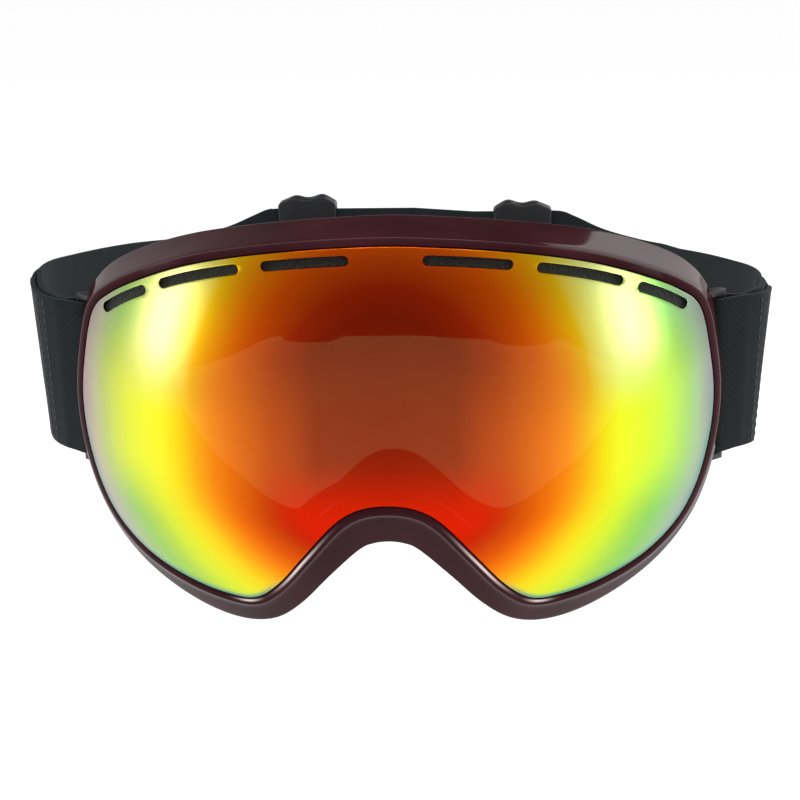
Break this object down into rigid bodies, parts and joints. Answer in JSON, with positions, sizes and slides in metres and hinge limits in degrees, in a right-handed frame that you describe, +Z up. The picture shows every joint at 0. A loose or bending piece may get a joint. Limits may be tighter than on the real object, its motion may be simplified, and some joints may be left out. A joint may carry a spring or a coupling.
{
  "type": "ski goggles",
  "caption": "Ski goggles with a large spherical mirrored double lens, a glossy frame, layered face foam and a wide elastic strap on swivelling outriggers with sliding adjusters.",
  "frame": {"origin": "middle of the brow line on the wearer's side, where the fleece meets the forehead, on the plane of symmetry", "axes": "+X across the goggles, to the right seen from the front; +Y back towards the wearer's head and the strap; +Z up. The lens looks along -Y"},
  "size_m": [0.2228, 0.2037, 0.1109],
  "materials": {
    "lens_mirror": "mirror coated, red through orange and yellow to green",
    "lens_clear": "clear gloss",
    "frame_gloss": "painted gloss",
    "tpu_black": "satin",
    "plastic_black": "satin",
    "foam_black": "matt",
    "foam_grey": "matt",
    "fleece_black": "matt",
    "webbing_black": "matt",
    "steel": "satin"
  },
  "bodies": {
    "mask": {"outer_lens": "lens_mirror", "lens_gasket": "foam_black", "inner_lens": "lens_clear", "left_vent_foam": "foam_black", "right_vent_foam": "foam_black", "front_frame": "frame_gloss", "face_frame": "tpu_black", "face_foam_base": "foam_grey", "face_foam_soft": "foam_grey", "face_fleece": "fleece_black", "left_bracket": "plastic_black", "right_bracket": "plastic_black", "left_hinge_pin": "steel", "right_hinge_pin": "steel", "strap": "webbing_black", "left_strap_return": "webbing_black", "right_strap_return": "webbing_black"},
    "left_arm": {"left_outrigger": "plastic_black", "left_strap_fold": "webbing_black"},
    "right_arm": {"right_outrigger": "plastic_black", "right_strap_fold": "webbing_black"},
    "left_slider": {"left_adjuster": "plastic_black", "left_adjuster_loop": "webbing_black"},
    "right_slider": {"right_adjuster": "plastic_black", "right_adjuster_loop": "webbing_black"}
  },
  "joints": [
    {"name": "left_outrigger_hinge", "type": "hinge", "parent": "mask", "child": "left_arm", "pos_m": [-0.08393, 0.02196, 0], "axis": [0, 0, 1], "range_deg": [-10, 10]},
    {"name": "right_outrigger_hinge", "type": "hinge", "parent": "mask", "child": "right_arm", "pos_m": [0.08393, 0.02196, 0], "axis": [0, 0, -1], "range_deg": [-10, 10]},
    {"name": "left_adjuster_slide", "type": "slide", "parent": "mask", "child": "left_slider", "axis": [1, 0, 0], "range_m": [0, 0.02]},
    {"name": "right_adjuster_slide", "type": "slide", "parent": "mask", "child": "right_slider", "axis": [-1, 0, 0], "range_m": [0, 0.02]}
  ]
}
